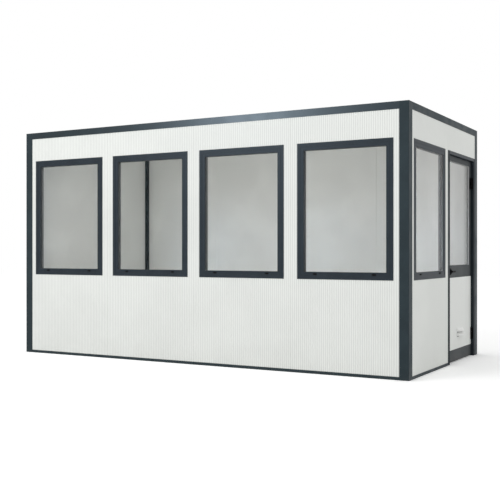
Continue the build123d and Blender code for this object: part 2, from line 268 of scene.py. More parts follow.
class GroupNet(NodeNet):
    """A new shader group."""

    family = "ShaderNodeTree"

    def __init__(self, name: str, inputs: dict[str, Kind], outputs: dict[str, Kind]) -> None:
        """Makes the group with its sockets.

        Args:
            name: The group's name.
            inputs: Its inputs.
            outputs: Its outputs.
        """
        super().__init__(bpy.data.node_groups.new(name, self.family))
        for side, sockets in (("INPUT", inputs), ("OUTPUT", outputs)):
            for label, kind in sockets.items():
                self.tree.interface.new_socket(label, in_out=side, socket_type=kind.value)
        self.given = self.add("NodeGroupInput").outputs
        self.made = self.add("NodeGroupOutput")

    def close(self, outputs: dict[str, Socket]) -> Tree:
        """Joins what was made to the group's outputs and returns the group."""
        self.feed(self.made, outputs)
        return self.tree


class SharedEffects:
    """Shader groups that several finishes use, each built once."""

    def __init__(self) -> None:
        """Builds the groups."""
        self.mottle = self._mottle()
        self.grain = self._grain()
        self.dust = self._dust()

    @staticmethod
    def _mottle() -> Tree:
        """Broad, faint changes of shade over a coated sheet.

        Returns:
            The group.
        """
        inputs = {"Color": Kind.COLOUR, "Scale": Kind.NUMBER, "Amount": Kind.NUMBER}
        outputs = {"Color": Kind.COLOUR, "Mask": Kind.NUMBER}
        net = GroupNet("coat_mottle", inputs, outputs)
        mask = net.remap(net.noise(net.given["Scale"], detail=5.0, roughness=0.55), (0.3, 0.7), (0.0, 1.0))
        low = net.math("SUBTRACT", 1.0, net.given["Amount"])
        high = net.math("ADD", 1.0, net.given["Amount"])
        shade = net.remap(mask, (0.0, 1.0), (low, high))
        scaled = net.put("ShaderNodeVectorMath", {0: net.given["Color"], "Scale": shade}, operation="SCALE")
        return net.close({"Color": scaled, "Mask": mask})

    @staticmethod
    def _grain() -> Tree:
        """Fine grain of a coat or moulding, as a height.

        Returns:
            The group.
        """
        net = GroupNet("coat_grain", {"Scale": Kind.NUMBER}, {"Height": Kind.NUMBER})
        fine = net.noise(net.given["Scale"], detail=2.0, roughness=0.6)
        broad = net.noise(net.math("MULTIPLY", net.given["Scale"], 0.17), detail=1.0)
        return net.close({"Height": net.math("MULTIPLY_ADD", broad, 0.6, fine)})

    @staticmethod
    def _dust() -> Tree:
        """Faint splash of dust that fades with the height above the ground.

        Returns:
            The group.
        """
        inputs = {"Color": Kind.COLOUR, "Dust": Kind.COLOUR, "Reach": Kind.NUMBER, "Amount": Kind.NUMBER}
        net = GroupNet("ground_dust", inputs, {"Color": Kind.COLOUR})
        height = net.add("ShaderNodeSeparateXYZ", {0: net.own_place()}).outputs["Z"]
        fade = net.remap(net.math("DIVIDE", height, net.given["Reach"]), (0.0, 1.0), (1.0, 0.0))
        patches = net.noise(scale=14.0, detail=6.0, roughness=0.65)
        share = net.math("MULTIPLY", fade, net.remap(patches, (0.25, 0.75), (0.25, 1.0)))
        mask = net.math("MULTIPLY", share, net.given["Amount"])
        return net.close({"Color": net.blend(mask, net.given["Color"], net.given["Dust"])})


def new_material(name: str) -> tuple[Material, NodeNet, Node]:
    """Starts a material.

    Args:
        name: Its name.

    Returns:
        The material, its tree and its main shader.
    """
    material = bpy.data.materials.new(name)
    material.use_nodes = True
    return material, NodeNet(material.node_tree), material.node_tree.nodes["Principled BSDF"]


@dataclass(frozen=True)
class CoatedFinish:
    """A coated sheet, powder-coated bar, moulding or rubber: one shade, faintly uneven, with a fine grain,
    and on ribs a painted highlight on the crests that stands for the shade in the grooves.
    """

    name: str
    colour: Triple
    roughness: float
    specular: float
    mottle_scale: float = 5.0
    mottle: float = 0.08
    grain_scale: float = 1400.0
    grain_depth: float = 0.00003
    roughness_spread: float = 0.06
    metallic: float = 0.0
    dust: float = 0.0
    dust_reach: float = 0.12
    dust_colour: Triple = (0.42, 0.38, 0.32)
    # Painted light: how much lighter the rib crests are painted than the grooves, standing for the shade
    # between the ribs.
    painted_crest_light: float = 0.0

    def build(self, effects: SharedEffects) -> Material:
        """Makes the material.

        Args:
            effects: The shared shader groups.

        Returns:
            The material.
        """
        material, net, shader = new_material(self.name)
        shade = (*self.colour, 1.0)
        # Painted shade between the ribs: vertices that the rib tree marks as crest are painted lighter than
        # the coat's own colour.
        if self.painted_crest_light:
            crest = net.add("ShaderNodeAttribute", attribute_name="crest").outputs["Fac"]
            painted_crest_tone = tuple(c * (1.0 + self.painted_crest_light) for c in self.colour)
            shade = net.blend(crest, shade, (*painted_crest_tone, 1.0))
        mottle = net.use(effects.mottle, Color=shade, Scale=self.mottle_scale, Amount=self.mottle)
        colour = mottle.outputs["Color"]
        if self.dust:
            dust = {"Dust": (*self.dust_colour, 1.0), "Reach": self.dust_reach, "Amount": self.dust}
            colour = net.use(effects.dust, Color=colour, **dust).outputs["Color"]
        ends = (self.roughness - self.roughness_spread, self.roughness + self.roughness_spread)
        grain = net.use(effects.grain, Scale=self.grain_scale).outputs["Height"]
        bump = {"Strength": 1.0, "Distance": self.grain_depth, "Height": grain}
        looks = {
            "Base Color": colour,
            "Metallic": self.metallic,
            "Roughness": net.remap(mottle.outputs["Mask"], (0.0, 1.0), ends),
            "Specular IOR Level": self.specular,
            "Normal": net.put("ShaderNodeBump", bump),
        }
        net.feed(shader, looks)
        return material


@dataclass(frozen=True)
class GlazingFinish:
    """Clear, faintly grey glass that lets the lamps through to the room."""

    name: str
    tint: Triple
    ior: float
    smear: float = 0.003
    mottle_scale: float = 1.7
    mottle: float = 0.012

    def build(self, effects: SharedEffects) -> Material:
        """Makes the material.

        Args:
            effects: The shared shader groups.

        Returns:
            The material.
        """
        material, net, shader = new_material(self.name)
        tint = (*self.tint, 1.0)
        mottle = net.use(effects.mottle, Color=tint, Scale=self.mottle_scale, Amount=self.mottle)
        looks = {
            "Base Color": mottle.outputs["Color"],
            "Roughness": net.remap(mottle.outputs["Mask"], (0.0, 1.0), (0.0, self.smear)),
            "IOR": self.ior,
            "Transmission Weight": 1.0,
        }
        net.feed(shader, looks)
        clear = net.put("ShaderNodeBsdfTransparent", {"Color": tint})
        shadow = net.add("ShaderNodeLightPath").outputs["Is Shadow Ray"]
        net.show("Material Output", shadow, shader.outputs["BSDF"], clear)
        return material


class Finishes:
    """Every finish of the booth, built once."""

    def __init__(self) -> None:
        """Builds the materials."""
        effects = SharedEffects()
        fine = 0.00002
        black = (0.0045, 0.0045, 0.005)
        # Each coat has a colour, a roughness and a specular level, then, where it differs from the frame's,
        # the scale and strength of its mottling and the scale and depth of its grain.
        coats = {
            Slot.FRAME: CoatedFinish("anthracite_coat", (0.0285, 0.0425, 0.0495), 0.45, 0.09, dust=0.02),
            Slot.WALL_PANEL: CoatedFinish(
                "panel_coat", (0.777, 0.795, 0.768), 0.5, 0.2, 1.6, 0.018, 700.0, fine,
                # Painted shade: the colour is the darker tone of the grooves between the ribs, and the rib
                # crests are painted 15% lighter.
                dust=0.06, dust_reach=0.35, painted_crest_light=0.15,
            ),
            Slot.ROOF_PANEL: CoatedFinish(
                "roof_coat", (0.74, 0.75, 0.735), 0.55, 0.35, 2.2, 0.035, 700.0, fine
            ),
            Slot.DOOR_PANEL: CoatedFinish(
                "door_panel_coat", (0.82, 0.84, 0.811), 0.45, 0.35, 2.4, 0.018, 800.0, fine,
                dust=0.08, dust_reach=0.4,
            ),
            Slot.VENT: CoatedFinish("vent_plastic", (0.86, 0.87, 0.85), 0.5, 0.4, 9.0, 0.02, 1100.0),
            Slot.GLASS: GlazingFinish("window_glass", (0.986, 0.984, 0.988), ior=1.08),
            Slot.HANDLE: CoatedFinish("handle_plastic", black, 0.5, 0.03, 30.0, 0.15, 1600.0),
            Slot.HINGE: CoatedFinish("hinge_coat", black, 0.55, 0.03, 24.0, 0.15, 1600.0),
            Slot.DRAIN_CAP: CoatedFinish(
                "cap_plastic", (0.006, 0.006, 0.0065), 0.6, 0.05, 40.0, 0.12, 2000.0
            ),
        }
        trims = (
            CoatedFinish("window_frame_coat", (0.0235, 0.0325, 0.0415), 0.42, 0.12, roughness_spread=0.02),
            # Painted light: a lighter copy of the frame colour that lines the window reveals, standing for
            # the light that reaches them.
            CoatedFinish("bead_coat", (0.095, 0.106, 0.11), 0.5, 0.14, mottle=0.06),
            # Real alloy of the glass spacers; the same material is also the painted light of the door glass's
            # reveal lining.
            CoatedFinish("spacer_alloy", (0.62, 0.625, 0.625), 0.5, 0.2, 12.0, 0.05, 1800.0),
            CoatedFinish("seal_rubber", (0.025, 0.026, 0.027), 0.75, 0.25, 18.0, 0.2, 2400.0),
            CoatedFinish("screw_steel", (0.45, 0.45, 0.44), 0.38, 0.5, 60.0, 0.12, 2600.0, metallic=1.0),
        )
        rail = CoatedFinish("top_rail_coat", (0.0085, 0.0205, 0.0275), 0.33, 0.3, roughness_spread=0.01)
        # Painted shade: a darker, less glossy copy of the frame coat on the door's jambs, standing for the
        # shade in their deep reveals.
        jamb = CoatedFinish("door_jamb_painted_shade_coat", (0.024, 0.031, 0.036), 0.5, 0.03)
        # Painted light: a lighter, more matte copy of the frame coat on the door leaf's frame, standing for
        # the grazing reflection that brightens it.
        leaf = CoatedFinish("door_leaf_painted_light_coat", (0.064, 0.072, 0.075), 0.6, 0.14, mottle=0.06, dust=0.05)
        self.by_slot = {slot: coat.build(effects) for slot, coat in coats.items()}
        built = [coat.build(effects) for coat in trims]
        self.window_coat, self.bead_coat, self.spacer_alloy, self.rubber, self.screw_steel = built
        self.by_word = {
            "window_frame": self.window_coat,
            "front_top_rail": rail.build(effects),
            "jamb": jamb.build(effects),
            "door_head": self.window_coat,
            "door_leaf_frame": leaf.build(effects),
        }

    def dress_frame(self, frame: dict) -> None:
        """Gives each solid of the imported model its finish.
        """
        for part in frame["record"]["subparts"]:
            node = part["node"]
            coat = self.by_slot[Slot(part["material_slot"])]
            for word, special in self.by_word.items():
                if word in node and "panel" not in node:
                    coat = special
            mesh = frame["nodes"][node].data
            mesh.materials.clear()
            mesh.materials.append(coat)


class ShapeNet(GroupNet):
    """A new Geometry Nodes tree that takes points, a material and named lengths."""

    family = "GeometryNodeTree"

    def __init__(self, name: str, lengths: tuple[str, ...], **others: Kind) -> None:
        """Makes the tree with its inputs.

        Args:
            name: The tree's name.
            lengths: Its lengths.
            others: Its other inputs.
        """
        inputs = {"Geometry": Kind.SHAPE, "Material": Kind.MATERIAL, **others}
        inputs.update(dict.fromkeys(lengths, Kind.NUMBER))
        super().__init__(name, inputs, {"Geometry": Kind.SHAPE})

    def upright(self, shape: Socket) -> Socket:
        """Stands a flat shape up so that it faces out of the wall."""
        inputs = {"Geometry": shape, "Rotation": (math.radians(90.0), 0.0, 0.0)}
        return self.put("GeometryNodeTransform", inputs)

    def rectangle(self, width: Socket, height: Socket) -> Socket:
        """A rectangle as a curve."""
        inputs = {"Width": width, "Height": height}
        return self.put("GeometryNodeCurvePrimitiveQuadrilateral", inputs, mode="RECTANGLE")

    def rounded(self, curve: Socket, radius: Socket, count: int) -> Socket:
        """Rounds a curve's corners."""
        inputs = {"Curve": curve, "Count": count, "Radius": radius}
        return self.put("GeometryNodeFilletCurve", inputs, mode="POLY")

    def stud(self, sides: int, radius: Socket, taper: float, height: Socket) -> Node:
        """A round stud that narrows towards its top."""
        inputs = {"Vertices": sides, "Radius Top": self.math("MULTIPLY", radius, taper), "Depth": height}
        return self.add("GeometryNodeMeshCone", {"Radius Bottom": radius, **inputs})

    def step(self, shape: Socket, face: Socket | bool, offset: Number, scale: float) -> tuple[Socket, Socket]:
        """Pushes a face of a shape out and scales it.

        Args:
            shape: The shape.
            face: Which face moves, or True for all.
            offset: How far it moves.
            scale: What it is scaled by.

        Returns:
            The new shape and its moved face.
        """
        inputs = {"Mesh": shape, "Selection": face, "Offset Scale": offset}
        moved = self.add("GeometryNodeExtrudeMesh", inputs, mode="FACES").outputs
        inputs = {"Geometry": moved["Mesh"], "Selection": moved["Top"], "Scale": scale}
        return self.put("GeometryNodeScaleElements", inputs, domain="FACE"), moved["Top"]

    def repeat(self, points: Socket, shape: Socket, **more: Socket) -> Tree:
        """Ends the tree with a copy of the shape on each point."""
        inputs = {"Points": points, "Instance": shape, **more}
        return self.end(self.put("GeometryNodeInstanceOnPoints", inputs))

    def end(self, shape: Socket) -> Tree:
        """Ends the tree by realizing its instances and setting its material.

        Args:
            shape: The geometry so far.

        Returns:
            The finished tree.
        """
        real = self.put("GeometryNodeRealizeInstances", {"Geometry": shape})
        dressed = self.put("GeometryNodeSetMaterial", {"Geometry": real, "Material": self.given["Material"]})
        return self.close({"Geometry": dressed})


class NodeShapes:
    """Geometry Nodes trees that the repeated pieces are made with."""

    def __init__(self) -> None:
        """Builds the trees."""
        self.ribs = self._rib_row()
        self.screws = self._screw_heads()
        self.ring = self._mitred_ring()
        self.covers = self._stepped_covers()

    @staticmethod
    def _rib_row() -> Tree:
        """A row of flat-topped upright ribs on a wall's face.

        Returns:
            The tree.
        """
        lengths = ("Pitch", "Start", "Face", "Bottom", "Top", "Base", "Crest", "Rise")
        net = ShapeNet("panel_ribs", lengths, Count=Kind.COUNT)
        get = net.given
        height = net.math("SUBTRACT", get["Top"], get["Bottom"])
        inputs = {"Size X": get["Base"], "Size Y": height, "Vertices X": 4, "Vertices Y": 2}
        strip = net.put("GeometryNodeMeshGrid", inputs)
        spot = net.add("ShaderNodeSeparateXYZ", {0: net.put("GeometryNodeInputPosition")}).outputs
        quarter = net.math("MULTIPLY", get["Base"], 0.25)
        inner = net.math("LESS_THAN", net.math("ABSOLUTE", spot["X"]), quarter)
        # The crest mark lets the panel coat paint the crests lighter, as painted shade between the ribs.
        inputs = {"Geometry": strip, "Name": "crest", "Value": inner}
        marked = net.put("GeometryNodeStoreNamedAttribute", inputs, data_type="FLOAT", domain="POINT")
        half_crest = net.math("MULTIPLY", get["Crest"], 0.5)
        side = net.math("MULTIPLY", net.math("SIGN", spot["X"]), half_crest)
        raised = net.vector(side, spot["Y"], get["Rise"])
        inputs = {"Geometry": marked, "Selection": inner, "Position": raised}
        rib = net.upright(net.put("GeometryNodeSetPosition", inputs))
        middle = net.math("MULTIPLY", net.math("ADD", get["Top"], get["Bottom"]), 0.5)
        first = net.vector(get["Start"], get["Face"], middle)
        inputs = {"Count": get["Count"], "Start Location": first, "Offset": net.vector(get["Pitch"])}
        return net.repeat(net.put("GeometryNodeMeshLine", inputs, mode="OFFSET"), rib)

    @staticmethod
    def _screw_heads() -> Tree:
        """A washer and a bored screw head on each point, along one direction.

        Returns:
            The tree.
        """
        lengths = ("Radius", "Height", "Washer", "Washer Height")
        net = ShapeNet("screw_heads", lengths, Direction=Kind.VECTOR)
        get = net.given
        head = net.stud(sides=12, radius=get["Radius"], taper=0.78, height=get["Height"]).outputs
        rim, mouth = net.step(head["Mesh"], head["Top"], offset=0.0, scale=0.6)
        inwards = net.math("MULTIPLY", get["Height"], -0.6)
        bored = net.step(rim, mouth, offset=inwards, scale=1.0)[0]
        lift = net.vector(0.0, 0.0, get["Washer Height"])
        raised = net.put("GeometryNodeTransform", {"Geometry": bored, "Translation": lift})
        washer = net.stud(sides=16, radius=get["Washer"], taper=0.9, height=get["Washer Height"])
        both = net.put("GeometryNodeJoinGeometry", {"Geometry": [raised, washer.outputs["Mesh"]]})
        turn = net.put("FunctionNodeAlignRotationToVector", {"Vector": get["Direction"]}, axis="Z")
        return net.repeat(get["Geometry"], both, Rotation=turn)

    @staticmethod
    def _mitred_ring() -> Tree:
        """A section swept round an upright rectangle, mitred at the corners.

        Returns:
            The tree.
        """
        net = ShapeNet("glazing_ring", ("Width", "Height", "Section Width", "Section Depth"))
        get = net.given
        path = net.rectangle(get["Width"], get["Height"])
        mitred_width = net.math("MULTIPLY", get["Section Width"], math.sqrt(2.0))
        section = net.rectangle(mitred_width, get["Section Depth"])
        thinner = net.math("MINIMUM", get["Section Width"], get["Section Depth"])
        soft = net.rounded(section, net.math("MULTIPLY", thinner, 0.35), count=3)
        swept = net.put("GeometryNodeCurveToMesh", {"Curve": path, "Profile Curve": soft})
        return net.end(net.upright(swept))

    @staticmethod
    def _stepped_covers() -> Tree:
        """A rounded, stepped cover on each point, facing out of the wall.

        Returns:
            The tree.
        """
        net = ShapeNet("stepped_covers", ("Length", "Height", "Corner", "Projection"))
        get = net.given
        outline = net.rounded(net.rectangle(get["Length"], get["Height"]), get["Corner"], count=4)
        base = net.put("GeometryNodeFillCurve", {"Curve": outline}, mode="NGONS")
        back = net.put("GeometryNodeFlipFaces", {"Mesh": base})
        shape, face = base, True
        for share, scale in ((0.55, 0.96), (0.45, 0.72)):
            shape, face = net.step(shape, face, net.math("MULTIPLY", get["Projection"], share), scale)
        whole = net.put("GeometryNodeJoinGeometry", {"Geometry": [shape, back]})
        closed = net.put("GeometryNodeMergeByDistance", {"Geometry": whole, "Distance": 0.00001})
        return net.repeat(get["Geometry"], net.upright(closed))

    @staticmethod
    def make(tree: Tree, values: Inputs, place: Matrix | None = None, points: Sequence[Vector] = ()) -> Mesh:
        """Runs a tree once and returns its result as a plain mesh.

        Args:
            tree: The tree to run.
            values: Its inputs by name.
            place: Where the result goes, if it isn't in place.
            points: Points that it starts from, if it needs them.

        Returns:
            The mesh that it made.
        """
        seed = bpy.data.meshes.new("seed")
        seed.from_pydata([tuple(p) for p in points], [], [])
        carrier = bpy.data.objects.new("carrier", seed)
        bpy.context.scene.collection.objects.link(carrier)
        modifier = carrier.modifiers.new("shape", "NODES")
        modifier.node_group = tree
        for item in tree.interface.items_tree:
            if item.in_out == "INPUT" and item.name in values:
                modifier[item.identifier] = values[item.name]
        depsgraph = bpy.context.evaluated_depsgraph_get()
        mesh = bpy.data.meshes.new_from_object(carrier.evaluated_get(depsgraph))
        carrier.modifiers.remove(modifier)
        bpy.data.objects.remove(carrier)
        bpy.data.meshes.remove(seed)
        if place:
            mesh.transform(place)
        return mesh


@dataclass
class Workshop:
    """What every sub-assembly is made with, and how its pieces go to the frame."""

    plan: BoothPlan
    finishes: Finishes
    shapes: NodeShapes
    count: int = 0

    def add(
        self, name: str, meshes: list[Mesh], body: Body, slot: Slot, material: Material | None = None,
        smooth: bool = False, stands_for: Sequence[str] = (),
    ) -> None:
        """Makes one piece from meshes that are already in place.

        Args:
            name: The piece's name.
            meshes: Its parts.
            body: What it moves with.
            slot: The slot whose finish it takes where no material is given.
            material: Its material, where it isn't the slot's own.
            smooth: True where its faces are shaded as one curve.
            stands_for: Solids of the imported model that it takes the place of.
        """
        whole = bmesh.new()
        for mesh in meshes:
            whole.from_mesh(mesh)
            bpy.data.meshes.remove(mesh)
        for face in whole.faces:
            face.material_index = 0
            face.smooth = smooth
        data = bpy.data.meshes.new(name)
        whole.to_mesh(data)
        whole.free()
        data.materials.clear()
        data.materials.append(material or self.finishes.by_slot[slot])
        piece = bpy.data.objects.new(name, data)
        bpy.context.scene.collection.objects.link(piece)
        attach(piece, body.value)
        if stands_for:
            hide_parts(*stands_for)
        self.count += 1
        LOG.info("%s: %d faces on %s", name, len(data.polygons), body.value)

    @staticmethod
    def bar(low: Triple, high: Triple, bevel: float, place: Matrix) -> Mesh:
        """A bar between two corners with softened edges.

        Args:
            low: Its lowest corner.
            high: Its highest corner.
            bevel: Width of the softened edges.
            place: Matrix from its own axes to the booth's.

        Returns:
            The bar in place.
        """
        size = Vector(high) - Vector(low)
        middle = (Vector(high) + Vector(low)) / 2.0
        shape = bmesh.new()
        bmesh.ops.create_cube(shape, size=1.0, matrix=Matrix.LocRotScale(middle, None, size))
        edges = list(shape.edges)
        bmesh.ops.bevel(shape, geom=edges, offset=bevel, segments=2, profile=0.5, affect="EDGES")
        mesh = bpy.data.meshes.new("bar")
        shape.to_mesh(mesh)
        shape.free()
        mesh.transform(place)
        return mesh


@dataclass
class SubAssembly:
    """A group of pieces that belong together."""

    shop: Workshop

    @property
    def plan(self) -> BoothPlan:
        """Sizes of the booth."""
        return self.shop.plan


@dataclass
class PanelRibs(SubAssembly):
    """The fine upright ribs of the wall panels' outer sheets, and the strips in the panels' joints."""

    ribs_per_panel: int = 51
    base: float = 0.0145
    crest: float = 0.009
    rise: float = 0.0022
    joint_mouth: float = 0.004
    joint_sink: float = 0.0012
    strip_depth: float = 0.002
    strip_bevel: float = 0.0004

    def spans(self, wall: Wall, x: float) -> list[Pair]:
        """Heights between which the rib at x shows.

        Args:
            wall: The wall it is on.
            x: Its middle along the wall.

        Returns:
            Bottom and top of each stretch.
        """
        plan = self.plan
        half = self.base / 2.0
        if x - half < plan.post or x + half > plan.wall_length(wall) - plan.post:
            return []
        if wall is Wall.RIGHT and x + half > plan.doorway:
            return [(plan.window_top, plan.rail_bottom)]
        for centre in plan.window_centres(wall):
            if abs(x - centre) < plan.window_half + half / 2.0:
                return [(plan.rail_top, plan.window_bottom), (plan.window_top, plan.rail_bottom)]
        return [(plan.rail_top, plan.rail_bottom)]

    def joints(self, wall: Wall) -> list[float]:
        """Places of the open joints along a wall.

        Args:
            wall: The wall.

        Returns:
            The middle of each joint.
        """
        plan = self.plan
        if wall in (Wall.FRONT, Wall.BACK):
            return [plan.first_panel + i * plan.module for i in range(1, plan.front_panels)]
        along = plan.first_panel + plan.module
        return [along if wall is Wall.RIGHT else plan.wall_length(wall) - along]

    def rib_rows(self, wall: Wall) -> list[Mesh]:
        """Rows of ribs of one height, with each joint midway between two ribs.

        Args:
            wall: The wall.

        Returns:
            The rows in place.
        """
        plan, shapes = self.plan, self.shop.shapes
        pitch = plan.module / self.ribs_per_panel
        joint = self.joints(wall)[0]
        first = joint + pitch / 2.0 - pitch * round(joint / pitch)
        places = [first + index * pitch for index in range(int(plan.wall_length(wall) / pitch) + 1)]
        sizes = {
            "Pitch": pitch, "Face": plan.panel_face, "Base": self.base, "Crest": self.crest,
            "Rise": self.rise, "Material": self.shop.finishes.by_slot[Slot.WALL_PANEL],
        }
        rows = []
        for spans, group in groupby(places, lambda x: self.spans(wall, x)):
            ribs = list(group)
            for bottom, top in spans:
                row = {"Count": len(ribs), "Start": ribs[0], "Bottom": bottom, "Top": top, **sizes}
                rows.append(shapes.make(shapes.ribs, row, plan.matrix(wall)))
        return rows

    def joint_strips(self, wall: Wall) -> list[Mesh]:
        """Light filler strips low in the grooves between a wall's panels.

        Args:
            wall: The wall.

        Returns:
            The strips in place.
        """
        plan = self.plan
        half = self.joint_mouth / 2.0
        front = plan.panel_face + self.joint_sink
        strips = []
        for x in self.joints(wall):
            low = (x - half, front, plan.rail_top)
            high = (x + half, front + self.strip_depth, plan.rail_bottom)
            strips.append(self.shop.bar(low, high, self.strip_bevel, plan.matrix(wall)))
        return strips

    def build(self) -> None:
        """Makes one piece of ribs and one of joint strips for each wall."""
        for wall in Wall:
            for piece, meshes in (("wall_ribs", self.rib_rows), ("joint_strips", self.joint_strips)):
                self.shop.add(f"{wall.label}_{piece}", meshes(wall), Body.BOOTH, Slot.WALL_PANEL)


@dataclass(frozen=True)
class Opening:
    """An opening that glass shows in, in a wall's own axes."""

    wall: Wall
    centre: float
    width: float
    bottom: float
    top: float
    depth: float

    @property
    def height(self) -> float:
        """How tall it is."""
        return self.top - self.bottom

    def place(self, plan: BoothPlan, depth: float) -> Matrix:
        """Matrix from the middle of the opening at a depth to the booth's axes."""
        middle = (self.centre, depth, (self.bottom + self.top) / 2.0)
        return plan.matrix(self.wall) @ Matrix.Translation(middle)


@dataclass
class Glazing(SubAssembly):
    """Double-glazed panes with spacers and seals, their beads and the linings of their reveals; the linings
    in front of the glass are light coats that paint light into the shaded reveals.
    """

    sheet: float = 0.004
    sheet_bevel: float = 0.0005
    fit: float = 0.0004
    edge: float = 0.01
    spacer: float = 0.008
    seal_width: float = 0.0015
    seal_depth: float = 0.0025
    bead_gap: float = 0.0035
    bead_rise: float = 0.0015
    door_bead: float = 0.004
    lining: float = 0.001
    door_width: float = 0.807
    door_bottom: float = 1.047
    door_top: float = 2.168
    door_depth: float = 0.048

    def windows(self, wall: Wall) -> list[Opening]:
        """The openings of a wall's windows.

        Args:
            wall: The wall.

        Returns:
            One opening for each window.
        """
        plan = self.plan
        width = 2.0 * (plan.window_half - plan.window_face)
        bottom = plan.window_bottom + plan.window_face
        top = plan.window_top - plan.window_face
        depth = plan.glass_depth(wall)
        return [Opening(wall, x, width, bottom, top, depth) for x in plan.window_centres(wall)]

    def door(self) -> Opening:
        """The opening of the door's pane."""
        sizes = (self.door_width, self.door_bottom, self.door_top, self.door_depth)
        return Opening(Wall.RIGHT, self.plan.door_centre, *sizes)

    def ring(self, opening: Opening, coat: Material, grow: float, section: Pair, depth: float) -> Mesh:
        """A section swept round an opening.

        Args:
            opening: The opening.
            coat: What the ring is made of.
            grow: How far the section's middle lies outside the opening's edge.
            section: Width and depth of the section.
            depth: Depth of the section's middle behind the wall's face.

        Returns:
            The ring in place.
        """
        values = {
            "Width": opening.width + 2.0 * grow, "Height": opening.height + 2.0 * grow,
            "Section Width": section[0], "Section Depth": section[1], "Material": coat,
        }
        return self.shop.shapes.make(self.shop.shapes.ring, values, opening.place(self.plan, depth))

    def lined(self, opening: Opening, coat: Material, front: float, back: float, thickness: float) -> Mesh:
        """A ring that lines an opening from one depth to another."""
        return self.ring(opening, coat, -thickness / 2.0, (thickness, back - front), (front + back) / 2.0)

    def behind(self, opening: Opening) -> float:
        """Depth at which the seal behind an opening's pane ends."""
        return opening.depth + self.plan.glass_thickness + self.seal_depth

    def pane(self, opening: Opening) -> tuple[list[Mesh], list[Mesh], list[Mesh]]:
        """The glass of one opening.

        Args:
            opening: The opening.

        Returns:
            The two sheets, the seals on both faces and the spacer between the sheets.
        """
        finishes = self.shop.finishes
        thickness = self.plan.glass_thickness
        half = opening.width / 2.0 + self.edge
        tall = opening.height / 2.0 + self.edge
        low, high = (-half, 0.0, -tall), (half, self.sheet, tall)
        fronts = (opening.depth + self.fit, opening.depth + thickness - self.fit - self.sheet)
        sheets = [self.shop.bar(low, high, self.sheet_bevel, opening.place(self.plan, y)) for y in fronts]
        section = (self.seal_width, self.seal_depth)
        depths = (opening.depth - self.seal_depth / 2.0, self.behind(opening) - self.seal_depth / 2.0)
        seals = [self.ring(opening, finishes.rubber, -self.seal_width / 2.0, section, y) for y in depths]
        section = (self.spacer, thickness - 2.0 * (self.fit + self.sheet))
        middle = opening.depth + thickness / 2.0
        spacer = self.ring(opening, finishes.spacer_alloy, self.spacer / 2.0, section, middle)
        return sheets, seals, [spacer]

    def panes(self, openings: list[Opening], body: Body, names: list[str], stands_for: list[str]) -> None:
        """Makes the sheets, the seals and the spacers of some openings.

        Args:
            openings: The openings.
            body: What they move with.
            names: Names of the three pieces.
            stands_for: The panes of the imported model.
        """
        shop = self.shop
        sheets, seals, spacers = [sum(parts, []) for parts in zip(*map(self.pane, openings))]
        shop.add(names[0], sheets, body, Slot.GLASS, stands_for=stands_for)
        shop.add(names[1], seals, body, Slot.DRAIN_CAP, shop.finishes.rubber, smooth=True)
        shop.add(names[2], spacers, body, Slot.FRAME, shop.finishes.spacer_alloy)

    def window_trim(self, wall: Wall) -> None:
        """Makes the beads on the window frames' inner band and the linings in front of the glass, whose
        lighter coat paints light into the shaded reveals.

        Args:
            wall: The wall.
        """
        plan = self.plan
        coat = self.shop.finishes.window_coat
        width = plan.window_face - plan.window_land - 2.0 * self.bead_gap
        grow = self.bead_gap + width / 2.0
        middle = plan.window_step - self.bead_rise / 2.0
        openings = self.windows(wall)
        beads = [self.ring(opening, coat, grow, (width, self.bead_rise), middle) for opening in openings]
        self.shop.add(f"{wall.label}_window_beads", beads, Body.BOOTH, Slot.FRAME, coat)
        # Painted light: the reveal linings take a lighter coat than the frame, standing for light in the
        # shaded reveals.
        coat = self.shop.finishes.bead_coat
        front = plan.window_step + self.lining
        back = plan.glass_depth(wall) - self.seal_depth
        linings = [self.lined(opening, coat, front, back, self.lining) for opening in openings]
        self.shop.add(f"{wall.label}_window_reveals", linings, Body.BOOTH, Slot.FRAME, coat)

    def back_linings(self) -> None:
        """Makes the bright linings behind the glass of the front windows."""
        alloy = self.shop.finishes.spacer_alloy
        rings = [
            self.lined(opening, alloy, self.behind(opening), self.plan.window_depth, self.lining)
            for opening in self.windows(Wall.FRONT)
        ]
        self.shop.add("front_window_back_linings", rings, Body.BOOTH, Slot.FRAME, alloy)

    def door_trim(self) -> None:
        """Makes the beads behind the door's glass and the light alloy lining in front of it, which paints
        light into the shaded reveal.
        """
        door = self.door()
        white = self.shop.finishes.by_slot[Slot.DOOR_PANEL]
        bead = self.lined(door, white, self.behind(door), self.plan.leaf_back, self.door_bead)
        self.shop.add("door_glass_beads", [bead], Body.DOOR, Slot.DOOR_PANEL)
        # Painted light: the bright alloy lining in front of the door's glass stands for light in the shaded
        # reveal.
        alloy = self.shop.finishes.spacer_alloy
        front = self.plan.leaf_face + self.lining
        lining = self.lined(door, alloy, front, door.depth - self.seal_depth, self.lining)
        self.shop.add("door_glass_reveal", [lining], Body.DOOR, Slot.FRAME, alloy)

    def build(self) -> None:
        """Makes the glazing of the windows and of the door."""
        front_panes = [f"front_window_pane_{i + 1}" for i in range(self.plan.front_panels)]
        for wall, stands_for in {Wall.FRONT: front_panes, Wall.RIGHT: ["right_window_pane"]}.items():
            names = [f"{wall.label}_window_{piece}" for piece in ("glass", "seals", "spacers")]
            self.panes(self.windows(wall), Body.BOOTH, names, stands_for)
            self.window_trim(wall)
        self.back_linings()
        names = ["door_glass_sheets", "door_glass_seals", "door_glass_spacer"]
        self.panes([self.door()], Body.DOOR, names, ["door_glass"])
        self.door_trim()


